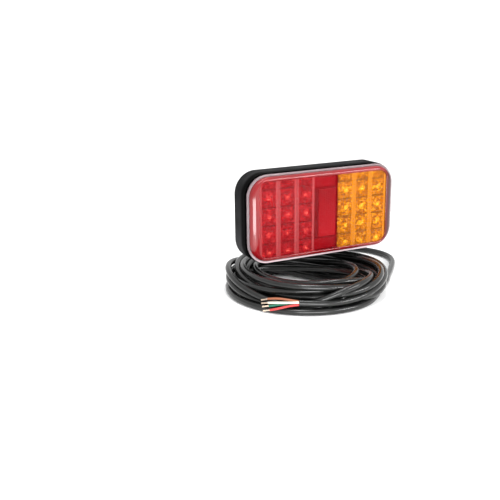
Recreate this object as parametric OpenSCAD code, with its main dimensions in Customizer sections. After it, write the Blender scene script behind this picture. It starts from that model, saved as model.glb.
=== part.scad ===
// Rear combination lamp for a trailer: stop and tail, reflex reflector and direction
// indicator behind one two-colour lens, on a sealed housing with two fixing studs and
// a coiled four-core lead.
// Frame: the mounting face lies on y = 0 with its centre at the origin, the lens looks
// towards -Y, +Z is up. Depths below are measured forwards from the mounting face.

/* [Lamp body] */
// Overall width of the lamp
lamp_w = 152; // [130:1:200]
// Overall height of the lamp
lamp_h = 80; // [66:1:110]
// Overall depth, from the mounting face to the front of the lens
lamp_d = 28; // [27:0.5:36]
// Radius of the lamp's four corners
corner_r = 20; // [17:0.5:26]
// Thickness of the housing's side walls
wall_t = 2.4; // [1.8:0.1:3]
// Thickness of the housing's back wall
back_t = 2.5; // [2:0.1:3]
// Depth of the housing's side walls, up to the shadow gap
side_d = 20; // [19:0.5:20.5]
// Depth at which the lens is seated
seat_d = 22.2; // [21.8:0.1:23]
// How far the lip in the shadow gap is set in from the side walls
gap_in = 2; // [1.5:0.1:2.2]
// Width of the lip that carries the lens
lip_w = 2.6; // [2.2:0.1:3.2]

/* [Lens] */
// Thickness of the lens wall
lens_t = 2.2; // [1.6:0.1:2.6]
// Thickness of the clear rim round the lens
rim_t = 2.2; // [1.6:0.1:2.6]
// Width of the clear rim
rim_w = 2.6; // [2:0.1:3.2]
// How far the rim is set in from the side walls
rim_in = 0.3; // [0.1:0.1:0.6]
// How far the raised front is set in from the lamp's left and right sides
face_in_x = 9; // [7:0.5:12]
// How far the raised front is set in from the top and the bottom
face_in_z = 4.6; // [4:0.2:6]
// Corner radius of the raised front
face_r = 9; // [6:0.5:14]
// Width of the reflex reflector
reflex_w = 22; // [16:1:24]
// Height of the reflex reflector
reflex_h = 47; // [36:1:52]
// Place of the reflex reflector's centre across the lamp
reflex_x = 1.5; // [-4:0.5:4]
// Thickness of the reflex reflector
reflex_t = 2; // [1.5:0.1:2.2]
// Space from the reflex reflector to the amber window
amber_gap = 1.5; // [1:0.5:3]

/* [Light cells] */
// Columns of light cells in each of the two windows
cell_cols = 3; // [3]
// Rows of light cells
cell_rows = 4; // [4]
// Plain strip above the top row of cells
top_strip = 8.5; // [4:0.5:10]
// How far the bottom row of cells runs on behind the border
low_cut = 2.5; // [0:0.5:3]
// Thickness of the walls between the cells
cell_wall = 2; // [1.4:0.1:2.4]
// Depth of the back of the cell trays
tray_d0 = 15.4; // [15.3:0.1:15.8]
// Depth of the front of the cell trays
tray_d1 = 22; // [21:0.2:22.2]
// Thickness of the trays' floor
tray_floor = 2; // [1.5:0.1:2.4]
// Side of an LED's body
led_w = 5; // [3:0.5:5.5]
// Height of an LED's body
led_t = 1.4; // [0.8:0.1:1.4]

/* [Circuit board] */
// Depth of the board's back face
board_d = 12; // [11.6:0.1:12.2]
// Thickness of the board
board_t = 1.6; // [1:0.2:1.6]
// Radius of the posts that the board stands on
post_r = 3.2; // [2.8:0.1:3.6]
// Shank radius of the board screws
screw_r = 1.2; // [1:0.1:1.3]

/* [Fixing studs] */
// Distance between the two studs
stud_pitch = 50; // [40:1:60]
// Shank radius of a stud at the mounting face
stud_r = 2.5; // [2:0.5:3]
// Length of the plain shank
shank_l = 3; // [2:0.5:4]
// Radius of a stud's threaded stretch, at the pitch diameter
thread_r = 2.25; // [1.8:0.05:2.3]
// Length of a stud behind the mounting face
stud_l = 24; // [20:1:30]
// Pitch of the thread
thread_pitch = 0.8; // [0.7:0.1:1]
// Width of a nut across its flats
nut_af = 8; // [7:0.5:10]
// Height of a nut
nut_h = 4.5; // [4:0.1:5]
// Outer radius of a flat washer
washer_r = 5; // [4.5:0.1:6]
// Thickness of a flat washer
washer_t = 1; // [0.8:0.1:1.2]

/* [Lead] */
// Diameter of the lead's sheath
cord_d = 5.5; // [5:0.5:6]
// Height of the gland below the lamp's centre
gland_drop = 20; // [18:1:22]
// Radius of the gland at the mounting face
gland_r = 6.5; // [6:0.1:7]
// Length of the gland behind the mounting face
gland_l = 24; // [20:1:26]
// Radius of one core's insulation
core_r = 0.95; // [0.7:0.05:1]
// Outer radius of the coil
coil_r = 66; // [62:1:70]
// Inner radius of the coil
coil_hole_r = 30; // [26:1:34]
// Height of the coil
coil_h = 24; // [20:1:26]

/* [Hidden] */
$fn = 96;
e = 0.05;            // clearance between pieces that are moulded, bonded or pressed together
slip = 0.3;          // clearance round pieces that drop into place
run = 0.05;          // radial running clearance of a nut on its thread
cut = 1;             // how far a cutting shape runs past the face it cuts

// --- outlines -----------------------------------------------------------------------
foot_in = rim_in + rim_w + e;                  // inset of the lens where it is seated
lip_in = gap_in + lip_w;                       // inset of the opening in the lip
seal_in = gap_in + 0.9;                        // inset of the sealing cord's groove
seal_w = 1.2;
seal_t = 1;
face_d = lamp_d - 1;                           // depth at which the border meets the front
tray_h = lamp_h - 2 * (lip_in + slip);
tray_x = lamp_w / 2 - face_in_x - 1;           // outer side of both cell trays

// --- light cells ----------------------------------------------------------------------
reflex_x0 = reflex_x - reflex_w / 2;
reflex_x1 = reflex_x + reflex_w / 2;
red_x = [-tray_x + cell_wall / 2, reflex_x0 - 0.5];
amber_x0 = reflex_x1 + amber_gap;
amber_x = [amber_x0, tray_x];
row_pitch = (tray_h - top_strip + low_cut) / cell_rows;
function col_pitch(x) = (x[1] - x[0]) / cell_cols;
function cell_x(x, i) = x[0] + (i + 0.5) * col_pitch(x);
function cell_z(j) = -tray_h / 2 - low_cut + (j + 0.5) * row_pitch;
led_slot = led_w + 2 * slip;
board_front = board_d + board_t;
board_w = lamp_w - 2 * (wall_t + 3);
board_h = lamp_h - 2 * (wall_t + 3);
board_r = corner_r - wall_t - 3;
screw_x = [red_x[0] + col_pitch(red_x), amber_x[1] - col_pitch(amber_x)];
screw_z = [cell_z(0) + row_pitch / 2, cell_z(cell_rows - 1) + row_pitch / 2];
screw_l = 7;
screw_head_r = 2.2;
screw_head_t = 1.3;

// --- fixing studs ------------------------------------------------------------------------
anchor_r = stud_r + 1.8;                       // head of a stud's anchor in the housing
anchor_d = [5, 7];
boss_r = stud_r + 4;
boss_d = 8;
washer_y = shank_l + 0.3;                      // where the flat washer starts, behind the face
spring_y = washer_y + washer_t + e;
spring_t = 1.3;
spring_r = washer_r - 0.6;
nut_y = spring_y + spring_t + e;
nut_corner = 0.7;                              // chamfer of a nut's corners

// --- lead -------------------------------------------------------------------------------
cord_r = cord_d / 2;
cord_bore = cord_r + e;
coil_c = [-24, -36];
coil_top = -lamp_h / 2 - 2 * e;                // the lamp stands on its coiled lead
coil_edge = 8;
grip_d = [5, 8];                               // the cord grip's front and back depths
grip_x = 12.2;                                 // its screws, to either side of the lead
sheath_end_d = 8.6;                            // depth at which the sheath is stripped
core_at = [[-1.15, 1.15], [-1.15, -1.15], [1.15, -1.15], [1.15, 1.15]];
pad_x = [-7.5, -2.5, 2.5, 7.5];
pad_z = -gland_drop;

lie = coil_top - coil_h + cord_r + 0.15;       // height of a stretch that lies on the floor
tip_l = 6;                                     // length of a core's stripped end

// Centre line of the lead from the gland down to the floor, round the lamp's right-hand
// side and in to the coil
lead_route = [
    [0, gland_l, -gland_drop], [0, 33, -gland_drop], [2, 43, -gland_drop - 3],
    [6, 51, -gland_drop - 11], [12, 57, lie + 19], [21, 61, lie + 9], [32, 63, lie + 2],
    [45, 62, lie], [58, 58, lie], [70, 51, lie], [81, 41, lie], [90, 29, lie], [95, 15, lie],
    [95, 2, lie], [89, -12, lie], [78, -25.5, lie], [66, -38.5, lie], [54.5, -50.5, lie], [45, -62, lie],
    [37, -72, lie], [28, -81, lie], [18, -88, lie],
];
// Centre line of the lead's last stretch, against the front of the coil
tail_route = [
    [-7.5, -102, lie + 4.2], [-19.3, -103.8, lie + 5], [-31, -103.6, lie + 5.6], [-42.7, -101.4, lie + 6.2],
    [-53.8, -97.1, lie + 6.8], [-63, -91.7, lie + 7.2],
];
// Centre lines of the four bared cores, from the sheath to their stripped ends
core_routes = [
    [[-62.6, -90.9, lie + 8.2], [-69, -86.3, lie + 9.2], [-75.5, -80.2, lie + 9.6],
     [-81, -74.5, lie + 8.6], [-86, -69.5, lie + 6.8]],
    [[-63.6, -92.6, lie + 8.2], [-70, -88.6, lie + 7.8], [-76.5, -83.3, lie + 7.2],
     [-82, -77.5, lie + 6.3], [-87, -72, lie + 5]],
    [[-62.6, -90.9, lie + 6.2], [-69, -86.3, lie + 5.7], [-75.5, -81.3, lie + 4.7],
     [-81.5, -77.3, lie + 3.6], [-87.2, -73.6, lie + 2.6]],
    [[-63.6, -92.6, lie + 6.2], [-70, -89, lie + 5.2], [-76.5, -85.8, lie + 3.6],
     [-82.5, -81.8, lie + 1.8], [-88.5, -77.5, lie + 0.4]],
];

// === helpers ==============================================================================

// Rounded rectangle, centred
module plate(w, h, r) {
    square([w - 2 * r, h], center = true);
    square([w, h - 2 * r], center = true);
    for (x = [-1, 1], z = [-1, 1])
        translate([x * (w / 2 - r), z * (h / 2 - r)]) circle(r);
}

// The lamp's outline, set in by a distance
module outline(inset) {
    plate(lamp_w - 2 * inset, lamp_h - 2 * inset, corner_r - inset);
}

// The outline of the raised front, set in by a distance
module face_outline(inset = 0) {
    plate(lamp_w - 2 * (face_in_x + inset), lamp_h - 2 * (face_in_z + inset), face_r - inset);
}

// A flat shape given thickness from depth d0 forwards to depth d1
module slab(d0, d1) {
    rotate([90, 0, 0]) translate([0, 0, d0]) linear_extrude(d1 - d0) children();
}

// A round bar along Y at (x, z), from depth d0 to depth d1
module bar(r, d0, d1, x = 0, z = 0) {
    translate([x, -d0, z]) rotate([90, 0, 0]) cylinder(r = r, h = d1 - d0);
}

// A block from corner to corner in X and Z, from depth d0 to depth d1
module block(x0, x1, z0, z1, d0, d1) {
    translate([x0, -d1, z0]) cube([x1 - x0, d1 - d0, z1 - z0]);
}

// A round tube carried along a list of points
module swept(points, r, sides) {
    n = len(points);
    function unit(v) = v / norm(v);
    function heading(i) = unit(points[min(i + 1, n - 1)] - points[max(i - 1, 0)]);
    function side(i) = unit(cross(heading(i), abs(heading(i)[2]) < 0.9 ? [0, 0, 1] : [0, 1, 0]));
    rings = [for (i = [0 : n - 1], k = [0 : sides - 1])
        points[i] + r * (cos(360 * k / sides) * side(i)
            + sin(360 * k / sides) * cross(side(i), heading(i)))];
    walls = [for (i = [0 : n - 2], k = [0 : sides - 1])
        let (a = i * sides + k, b = i * sides + (k + 1) % sides) [a, b, b + sides, a + sides]];
    caps = [[for (k = [sides - 1 : -1 : 0]) k], [for (k = [0 : sides - 1]) (n - 1) * sides + k]];
    polyhedron(rings, concat(walls, caps), convexity = 4);
}

// === housing and lens ======================================================================

module base_housing() color([0.16, 0.16, 0.16]) difference() {
    union() {
        difference() {
            union() {
                slab(0, side_d) outline(0);
                slab(side_d - cut, seat_d) outline(gap_in);
            }
            slab(back_t, side_d - 4) outline(wall_t);
            slab(side_d - 4 - cut, seat_d + cut) outline(lip_in);
            slab(seat_d - seal_t - e, seat_d + cut) difference() {
                outline(seal_in);
                outline(seal_in + seal_w);
            }
        }
        for (x = screw_x, z = screw_z) bar(post_r, back_t - cut, board_d - e, x, z);
        for (x = [-1, 1]) bar(boss_r, back_t - cut, boss_d, x * stud_pitch / 2);
        for (x = [-1, 1]) bar(post_r, back_t - cut, grip_d[0] - e, x * grip_x, pad_z);
    }
    for (x = screw_x, z = screw_z) bar(screw_r + e, board_d - screw_l, board_d + cut, x, z);
    for (x = [-1, 1]) bar(screw_r + e, 1, grip_d[0] + cut, x * grip_x, pad_z);
    for (x = [-1, 1]) {
        bar(stud_r + 0.4 + e, -cut, anchor_d[0], x * stud_pitch / 2);
        bar(anchor_r + e, anchor_d[0] - e, anchor_d[1] + e, x * stud_pitch / 2);
    }
    bar(gland_r + e, -cut, back_t + cut, 0, -gland_drop);
}

module lens_seal() color([0.05, 0.05, 0.05]) slab(seat_d - seal_t, seat_d - e) difference() {
    outline(seal_in + e);
    outline(seal_in + seal_w - e);
}

module lens_rim() color([0.9, 0.8, 0.8]) slab(seat_d, seat_d + rim_t) difference() {
    outline(rim_in);
    outline(rim_in + rim_w);
}

// The border rises from the seat to the raised front in two slopes
module lens_form(t) {
    front = lamp_d - t;
    hull() {
        slab(seat_d - (t > 0 ? cut : 0), seat_d + rim_t - t) outline(foot_in + t, $fn = 48);
        slab(face_d - t - 0.5, face_d - t)
            plate(lamp_w - 2 * (foot_in + t + (face_in_x - foot_in) * 0.65),
                  lamp_h - 2 * (foot_in + t + (face_in_z - foot_in) * 0.5),
                  (face_r + corner_r - foot_in) / 2 - t, $fn = 48);
        slab(front - 0.5, front) face_outline(t, $fn = 48);
    }
}

module amber_window(grow = 0) intersection() {
    face_outline(0.8 - grow);
    translate([amber_x0 - grow, -lamp_h / 2]) square([lamp_w, lamp_h]);
}

module lens_red() color([0.72, 0.1, 0.12]) difference() {
    lens_form(0);
    lens_form(lens_t);
    slab(seat_d, lamp_d + cut) amber_window(e);
}

module lens_amber() color([0.9, 0.55, 0.1]) slab(lamp_d - lens_t, lamp_d) amber_window();

module reflex_reflector() color([0.7, 0.05, 0.08]) block(reflex_x0, reflex_x1,
    -reflex_h / 2, reflex_h / 2, lamp_d - lens_t - e - reflex_t, lamp_d - lens_t - e);

// === light cells ===========================================================================

// A tray of open cells, one for each LED, with a square window in each floor
module cell_tray(x) {
    difference() {
        intersection() {
            block(x[0] - cell_wall / 2, x[1] + cell_wall / 2 - (x == red_x ? cell_wall / 2 : 0),
                -tray_h / 2, tray_h / 2, tray_d0, tray_d1);
            slab(tray_d0 - cut, tray_d1 + cut) outline(lip_in + slip);
        }
        for (i = [0 : cell_cols - 1], j = [0 : cell_rows - 1]) {
            floor_z = max(cell_z(j) - row_pitch / 2, -tray_h / 2) + cell_wall / 2;
            block(cell_x(x, i) - (col_pitch(x) - cell_wall) / 2,
                cell_x(x, i) + (col_pitch(x) - cell_wall) / 2,
                floor_z, cell_z(j) + (row_pitch - cell_wall) / 2, tray_d0 + tray_floor, tray_d1 + cut);
            block(cell_x(x, i) - led_slot / 2, cell_x(x, i) + led_slot / 2,
                cell_z(j) - led_slot / 2, cell_z(j) + led_slot / 2, tray_d0 - cut, tray_d1);
        }
    }
}

module red_cell_tray() color([0.85, 0.83, 0.83]) cell_tray(red_x);
module amber_cell_tray() color([0.86, 0.85, 0.82]) cell_tray(amber_x);

// Square LED bodies with a round dome, one at the back of each cell
module leds(x) for (i = [0 : cell_cols - 1], j = [0 : cell_rows - 1]) union() {
    block(cell_x(x, i) - led_w / 2, cell_x(x, i) + led_w / 2, cell_z(j) - led_w / 2,
        cell_z(j) + led_w / 2, board_front + e, board_front + led_t);
    bar(led_w * 0.36, board_front + led_t / 2, board_front + led_t + 0.8, cell_x(x, i), cell_z(j));
}

module red_leds() color([0.9, 0.2, 0.2]) leds(red_x);
module amber_leds() color([0.95, 0.8, 0.3]) leds(amber_x);

// === circuit board =========================================================================

module circuit_board() color([0.1, 0.35, 0.2]) slab(board_d, board_front) difference() {
    plate(board_w, board_h, board_r);
    for (x = screw_x, z = screw_z) translate([x, z]) circle(screw_r + slip);
    for (x = pad_x) translate([x, pad_z]) circle(0.75);
}

module board_screws() color([0.7, 0.7, 0.72]) for (x = screw_x, z = screw_z) union() {
    bar(screw_head_r, board_front + e, board_front + e + screw_head_t, x, z);
    bar(screw_r, board_d - screw_l + 1, board_front + e + screw_head_t / 2, x, z);
}

// Small parts in rows on the strip of board behind the reflex reflector
module chip_row(xs, zs, w, h, t) for (x = xs, z = zs)
    block(reflex_x + x - w / 2, reflex_x + x + w / 2, z - h / 2, z + h / 2,
        board_front + e, board_front + e + t);

module resistors() color([0.12, 0.12, 0.14]) chip_row([-7, -2.6], [4, 8, 12, 16], 3.2, 1.6, 0.6);
module diodes() color([0.15, 0.15, 0.16]) chip_row([4.5], [4, 9.5, 15], 4.4, 2.6, 2.2);
module driver_chips() color([0.08, 0.08, 0.09]) chip_row([-5, 4.5], [-4.5], 6, 5, 1.6);
module filter_capacitors() color([0.75, 0.75, 0.78]) for (x = [-5, 4.5])
    bar(2.6, board_front + e, board_front + 5.4, reflex_x + x, -13);

module solder_terminals() color([0.8, 0.78, 0.7]) for (x = pad_x) union() {
    bar(0.7, board_d - 0.4, board_front + 0.9, x, pad_z);
    bar(1.3, board_front + e, board_front + 0.5, x, pad_z);
}

module inner_core(k) {
    from = core_at[k];
    swept([
        [from[0], -sheath_end_d - e, pad_z + from[1]],
        [from[0], -sheath_end_d - 0.4, pad_z + from[1]],
        [from[0] * 1.4, -sheath_end_d - 1, pad_z + from[1]],
        [pad_x[k] * 0.75 + from[0] * 0.3, -sheath_end_d - 1.5, pad_z + from[1] * 0.6],
        [pad_x[k], -board_d + 1.5, pad_z + from[1] * 0.2],
        [pad_x[k], -board_d + 0.4 + e, pad_z],
    ], 0.55, 8);
}

module inner_core_brown() color([0.45, 0.25, 0.15]) inner_core(0);
module inner_core_white() color([0.9, 0.9, 0.85]) inner_core(1);
module inner_core_green() color([0.15, 0.45, 0.25]) inner_core(2);
module inner_core_red() color([0.75, 0.15, 0.15]) inner_core(3);

// === gland, cord grip and studs ============================================================

module cable_gland() color([0.07, 0.07, 0.07])
    translate([0, 0, -gland_drop]) rotate([-90, 0, 0]) rotate_extrude() polygon([
        [cord_bore, -back_t - 2], [gland_r + 2, -back_t - 2], [gland_r + 2, -back_t - e],
        [gland_r, -back_t - e], [gland_r, 6], [gland_r - 1.2, 7.5],
        [cord_r + 1.1, gland_l - 1], [cord_r + 0.8, gland_l - e], [cord_bore, gland_l - e],
    ]);

// The lead's sheath inside the gland, up to where it is stripped
module inner_sheath() color([0.1, 0.1, 0.1]) bar(cord_r, -gland_l + e, sheath_end_d, 0, -gland_drop);

module cord_grip() color([0.25, 0.25, 0.26]) slab(grip_d[0], grip_d[1]) translate([0, pad_z])
    difference() {
        plate(2 * grip_x + 8, 10, 3);
        circle(cord_bore);
        for (x = [-1, 1]) translate([x * grip_x, 0]) circle(screw_r + slip);
    }

module cord_grip_screws() color([0.7, 0.7, 0.72]) for (x = [-1, 1]) union() {
    bar(screw_head_r, grip_d[1] + e, grip_d[1] + e + screw_head_t, x * grip_x, pad_z);
    bar(screw_r, 1.5, grip_d[1] + screw_head_t, x * grip_x, pad_z);
}

// A knurled anchor with a head in the housing's boss, a plain shank and the thread
module stud(x) {
    bar(anchor_r, anchor_d[0], anchor_d[1], x);
    bar(stud_r + 0.4, 0, anchor_d[0] + cut, x);
    bar(stud_r, -shank_l, cut, x);
    bar(thread_r, -stud_l + thread_pitch, 0, x);
    translate([x, stud_l - thread_pitch, 0]) rotate([-90, 0, 0])
        cylinder(r1 = thread_r, r2 = thread_r - 0.6, h = thread_pitch);
}

module mounting_studs() color([0.78, 0.76, 0.7]) for (x = [-1, 1]) union() stud(x * stud_pitch / 2);

module washer(x) difference() {
    bar(washer_r, -washer_y - washer_t, -washer_y, x);
    bar(stud_r + 0.2, -washer_y - washer_t - cut, -washer_y + cut, x);
}

// A split ring
module spring_washer(x) difference() {
    bar(spring_r, -spring_y - spring_t, -spring_y, x);
    bar(stud_r + 0.15, -spring_y - spring_t - cut, -spring_y + cut, x);
    translate([x, spring_y + spring_t / 2, spring_r - cut]) rotate([0, 25, 0])
        cube([0.7, spring_t + cut, 4], center = true);
}

module nut(x) difference() {
    translate([x, nut_y, 0]) rotate([-90, 30, 0]) intersection() {
        cylinder(r = nut_af / sqrt(3), h = nut_h, $fn = 6);
        union() {
            cylinder(r1 = nut_af / 2, r2 = nut_af / sqrt(3) + 0.1, h = nut_corner);
            translate([0, 0, nut_corner])
                cylinder(r = nut_af / sqrt(3) + 0.1, h = nut_h - 2 * nut_corner);
            translate([0, 0, nut_h - nut_corner])
                cylinder(r1 = nut_af / sqrt(3) + 0.1, r2 = nut_af / 2, h = nut_corner);
        }
    }
    bar(thread_r + run, -nut_y - nut_h - cut, -nut_y + cut, x);
}

module washer_left() color([0.75, 0.75, 0.74]) washer(-stud_pitch / 2);
module washer_right() color([0.75, 0.75, 0.74]) washer(stud_pitch / 2);
module spring_washer_left() color([0.7, 0.7, 0.7]) spring_washer(-stud_pitch / 2);
module spring_washer_right() color([0.7, 0.7, 0.7]) spring_washer(stud_pitch / 2);
module nut_left() color([0.78, 0.77, 0.74]) nut(-stud_pitch / 2);
module nut_right() color([0.78, 0.77, 0.74]) nut(stud_pitch / 2);

// === lead ===================================================================================

module cable_lead() color([0.09, 0.09, 0.09]) swept(lead_route, cord_r, 10);

// Outer shape of the coil's turns: a flat ring with rounded edges
module cable_coil() color([0.09, 0.09, 0.09])
    translate([coil_c[0], coil_c[1], coil_top - coil_h]) rotate_extrude($fn = 120) {
        translate([coil_hole_r, coil_edge]) square([coil_r - coil_hole_r, coil_h - 2 * coil_edge]);
        translate([coil_hole_r + coil_edge, 0])
            square([coil_r - coil_hole_r - 2 * coil_edge, coil_h]);
        for (x = [coil_hole_r + coil_edge, coil_r - coil_edge], y = [coil_edge, coil_h - coil_edge])
            translate([x, y]) circle(coil_edge);
    }

module cable_tail() color([0.09, 0.09, 0.09]) swept(tail_route, cord_r, 10);

// A core's own route, with its last stretch left to the bared strands
function bared(r) = let (n = len(r), a = r[n - 2], b = r[n - 1], u = (b - a) / norm(b - a))
    [b - u * (tip_l + 0.1), b - u * tip_l, b];
module core(k) let (r = core_routes[k], b = bared(r))
    swept([for (i = [0 : len(r) - 2]) r[i], b[0]], core_r, 8);

module core_brown() color([0.45, 0.28, 0.18]) core(0);
module core_white() color([0.93, 0.91, 0.83]) core(1);
module core_green() color([0.12, 0.4, 0.25]) core(2);
module core_red() color([0.75, 0.15, 0.15]) core(3);
module bare_core_ends() color([0.85, 0.72, 0.6]) for (r = core_routes)
    let (b = bared(r)) swept([b[1], b[2]], core_r * 0.65, 8);

// === nodes ==================================================================================

base_housing();
lens_seal();
lens_rim();
lens_red();
lens_amber();
reflex_reflector();
red_cell_tray();
amber_cell_tray();
circuit_board();
board_screws();
red_leds();
amber_leds();
resistors();
diodes();
driver_chips();
filter_capacitors();
solder_terminals();
inner_core_brown();
inner_core_white();
inner_core_green();
inner_core_red();
cable_gland();
inner_sheath();
cord_grip();
cord_grip_screws();
mounting_studs();
washer_left();
spring_washer_left();
nut_left();
washer_right();
spring_washer_right();
nut_right();
cable_lead();
cable_coil();
cable_tail();
core_brown();
core_white();
core_green();
core_red();
bare_core_ends();
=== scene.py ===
"""Trailer tail light: lenses, optics, fixings and the coiled lead, fitted to the lamp's frame.

The lamp's mounting face lies on y = 0, the lens looks towards -Y and +Z is up. Sizes are in
metres. Run it as a script: the operators build the pieces in the order of the panel.
"""

import math

import bpy
import numpy as np
from mathutils import Matrix, Vector


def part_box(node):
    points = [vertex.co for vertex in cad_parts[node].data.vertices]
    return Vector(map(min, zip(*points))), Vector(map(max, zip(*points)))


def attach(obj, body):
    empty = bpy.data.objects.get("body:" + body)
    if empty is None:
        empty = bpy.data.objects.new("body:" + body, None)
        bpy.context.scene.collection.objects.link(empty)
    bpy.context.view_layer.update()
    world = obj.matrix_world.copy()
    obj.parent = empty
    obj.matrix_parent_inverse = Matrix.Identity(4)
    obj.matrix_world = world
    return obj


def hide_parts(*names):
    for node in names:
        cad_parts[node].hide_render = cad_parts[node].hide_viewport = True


bl_info = {
    "name": "Trailer Tail Light",
    "version": (1, 0, 0),
    "blender": (4, 5, 0),
    "location": "View3D > Sidebar > Tail light",
    "description": "Lenses, optics, fixings and coiled lead of a rectangular trailer tail light",
    "category": "Add Mesh",
}

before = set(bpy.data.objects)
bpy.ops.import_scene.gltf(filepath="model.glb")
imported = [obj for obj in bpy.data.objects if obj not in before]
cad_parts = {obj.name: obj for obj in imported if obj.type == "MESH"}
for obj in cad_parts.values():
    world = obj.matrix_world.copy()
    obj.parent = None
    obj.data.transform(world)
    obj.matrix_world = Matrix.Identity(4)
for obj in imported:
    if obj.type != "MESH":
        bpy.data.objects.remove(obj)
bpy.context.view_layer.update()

MM = 0.001
LAMP = "lamp"
HOUSING_LOW, HOUSING_HIGH = (np.array(c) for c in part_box("base_housing"))
RIM_LOW, RIM_HIGH = (np.array(c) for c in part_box("lens_rim"))
LENS_LOW = np.array(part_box("lens_red")[0])
AMBER_LOW, AMBER_HIGH = (np.array(c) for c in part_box("lens_amber"))
REFLEX_LOW, REFLEX_HIGH = (np.array(c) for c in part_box("reflex_reflector"))
GLAND_LOW, GLAND_HIGH = (np.array(c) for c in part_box("cable_gland"))
STUDS_LOW, STUDS_HIGH = (np.array(c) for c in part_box("mounting_studs"))
FLOOR_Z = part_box("cable_coil")[0][2]
SHEATH = 5.5 * MM  # diameter of the lead


def lamps(node, columns, rows):
    """Centres across and up of the LEDs in a node: a regular grid between its box's corners."""
    low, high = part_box(node)
    half = 2.5 * MM
    return (np.linspace(low[0] + half, high[0] - half, columns),
            np.linspace(low[2] + half, high[2] - half, rows))


# === settings ===============================================================================


def length_property(name, description, default, least=0.0):
    """A length in metres with a name, a description, its default and its least value."""
    return bpy.props.FloatProperty(name=name, description=description, default=default, min=least, unit="LENGTH")


class TAIL_PG_lens(bpy.types.PropertyGroup):
    """Sizes of the two-colour lens and its optics."""

    inset_side: length_property("Side inset", "From the lamp's left and right sides to the raised front", 9 * MM)
    inset_top: length_property("Top inset", "From the lamp's top and bottom to the raised front", 5.4 * MM)
    corner: length_property("Front corner", "Corner radius of the raised front", 9 * MM)
    foot_inset: length_property("Foot inset", "From the lamp's side to the foot of the border", 2.5 * MM)
    outer_corner: length_property("Lamp corner", "Radius of the lamp's four corners", 20 * MM)
    rib_pitch: length_property("Rib pitch", "Distance between the fine optic ribs", 1.45 * MM, 0.0005)
    pillow_pitch: length_property("Pillow pitch", "Width of one optic pillow across the lamp", 3.1 * MM, 0.0005)
    land_width: length_property("Land width", "Width of the plain upright strips between the cells", 3.6 * MM)


class TAIL_PG_lead(bpy.types.PropertyGroup):
    """The lead and how its coil was wound."""

    diameter: length_property("Diameter", "Diameter of the sheath", SHEATH, 0.001)
    length: length_property("Length", "Length of the whole lead", 6.2, 0.1)
    turns: bpy.props.IntProperty(
        name="Turns", description="Turns of lead in the coil", default=16, min=4, max=20)
    steps: bpy.props.IntProperty(
        name="Settling steps", description="Steps in which the coil settles", default=300, min=50, max=600)
    stiffness: bpy.props.FloatProperty(
        name="Stiffness", description="How strongly a turn keeps the curve it was wound in",
        default=0.8, min=0.0, max=1.0)
    core_diameter: length_property("Core diameter", "Diameter of one core's insulation", 1.9 * MM, 0.0005)
    tip_length: length_property("Stripped length", "Bared copper at the end of each core", 6 * MM)


def colour_property(name, description, default):
    """A colour swatch with a name, a description and its default."""
    return bpy.props.FloatVectorProperty(
        name=name, description=description, default=default, subtype="COLOR", size=3, min=0.0, max=1.0)


class TAIL_PG_finish(bpy.types.PropertyGroup):
    """Colours of the lamp's plastics."""

    red: colour_property("Red lens", "Clear red of the lens", (0.36, 0.007, 0.012))
    amber: colour_property("Amber lens", "Clear amber of the indicator window", (0.62, 0.19, 0.008))
    rim: colour_property("Rim", "Clear rim round the lens", (0.42, 0.33, 0.35))
    housing: colour_property("Housing", "Moulded housing", (0.012, 0.012, 0.0125))
    sheath: colour_property("Sheath", "Sheath of the lead", (0.004, 0.0042, 0.004))


class TAIL_PG_stage(bpy.types.PropertyGroup):
    """Camera: where it stands, which way it looks and its lens."""

    azimuth: bpy.props.FloatProperty(
        name="Azimuth", description="Direction the camera looks in, from +Y towards +X",
        default=math.radians(26.1), subtype="ANGLE")
    pitch: bpy.props.FloatProperty(
        name="Pitch", description="How far the camera looks down",
        default=math.radians(15.97), subtype="ANGLE")
    roll: bpy.props.FloatProperty(
        name="Roll", description="Turn of the camera about its own axis",
        default=math.radians(-0.756), subtype="ANGLE")
    focal: bpy.props.FloatProperty(
        name="Focal length", description="Lens of the camera, in millimetres, on a 36 mm sensor",
        default=53.42, min=10.0)
    place: bpy.props.FloatVectorProperty(
        name="Camera place", description="Where the camera stands",
        default=(-0.3450, -0.5787, 0.1517), size=3, subtype="TRANSLATION", unit="LENGTH")


# === shaders ================================================================================


class Socket:
    """An output socket that can be used in arithmetic: each operation adds a Math node."""

    def __init__(self, shader, socket):
        self.shader = shader
        self.socket = socket

    def math(self, operation, first, second=None):
        values = [first] if second is None else [first, second]
        return self.shader.node("ShaderNodeMath", {"operation": operation}, values)

    def __add__(self, other):
        return self.math("ADD", self, other)

    def __radd__(self, other):
        return self.math("ADD", other, self)

    def __sub__(self, other):
        return self.math("SUBTRACT", self, other)

    def __rsub__(self, other):
        return self.math("SUBTRACT", other, self)

    def __mul__(self, other):
        return self.math("MULTIPLY", self, other)

    def __rmul__(self, other):
        return self.math("MULTIPLY", other, self)

    def __pow__(self, other):
        return self.math("POWER", self, other)


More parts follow.
